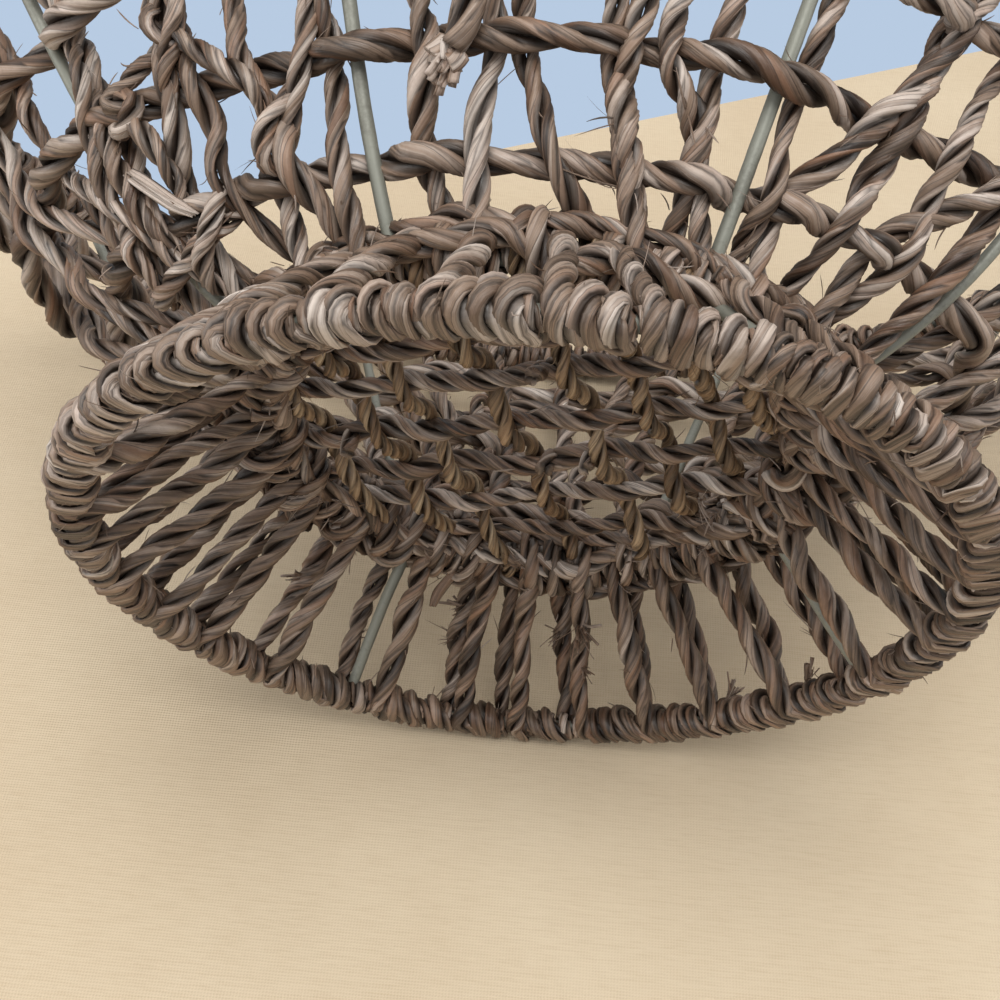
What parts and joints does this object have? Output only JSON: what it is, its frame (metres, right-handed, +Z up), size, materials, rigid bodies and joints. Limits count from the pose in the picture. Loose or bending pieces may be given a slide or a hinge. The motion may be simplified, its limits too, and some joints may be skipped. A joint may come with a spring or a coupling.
{
  "type": "pedestal fruit basket",
  "caption": "Open-work fruit basket: an oval, flared bowl on a round, flared foot, laced with twisted grass rope over a wire frame of rings, struts and ribs, with a plain-woven floor at the waist.",
  "frame": {"origin": "on the ground under the middle of the foot ring", "axes": "+Z up along the axis of the rings, from the foot to the rim; X along the length of the oval bowl; the first strut of the foot stands 27 degrees from +X towards +Y"},
  "size_m": [0.3728, 0.2788, 0.1581],
  "materials": {
    "frame_wire": "grey-green painted round wire, satin",
    "grass_rope": "two-ply twisted grass rope, taupe, matt with a slight leaf sheen",
    "tan_rope": "two-ply twisted grass rope, tan, matt with a slight leaf sheen"
  },
  "bodies": {
    "root": {"foot_ring_wire": "frame_wire", "waist_ring_wire": "frame_wire", "rim_ring_wire": "frame_wire", "skirt_strut_1": "frame_wire", "skirt_strut_2": "frame_wire", "skirt_strut_3": "frame_wire", "skirt_strut_4": "frame_wire", "bowl_upright_1": "frame_wire", "bowl_upright_2": "frame_wire", "bowl_upright_3": "frame_wire", "bowl_upright_4": "frame_wire", "bowl_rib_1": "frame_wire", "bowl_rib_2": "frame_wire", "bowl_rib_3": "frame_wire", "bowl_rib_4": "frame_wire", "skirt_lacing_1": "grass_rope", "skirt_lacing_2": "grass_rope", "skirt_lacing_3": "grass_rope", "skirt_lacing_4": "grass_rope", "waist_binding_1": "grass_rope", "waist_binding_2": "grass_rope", "waist_binding_3": "grass_rope", "waist_binding_4": "grass_rope", "bowl_lacing_1": "grass_rope", "bowl_lacing_2": "grass_rope", "bowl_lacing_3": "grass_rope", "bowl_lacing_4": "grass_rope", "weaver_row_1": "grass_rope", "weaver_row_2": "grass_rope", "weaver_row_3": "grass_rope", "weaver_row_4": "grass_rope", "weaver_row_5": "grass_rope", "floor_weft_1": "grass_rope", "floor_weft_2": "grass_rope", "floor_weft_3": "grass_rope", "floor_weft_4": "grass_rope", "floor_weft_5": "grass_rope", "floor_weft_6": "grass_rope", "floor_weft_7": "grass_rope", "floor_weft_8": "grass_rope", "floor_warp_1": "tan_rope", "floor_warp_2": "tan_rope", "floor_warp_3": "tan_rope", "floor_warp_4": "tan_rope", "floor_warp_5": "tan_rope", "floor_warp_6": "tan_rope", "floor_warp_7": "tan_rope", "floor_warp_8": "tan_rope"}
  },
  "joints": []
}
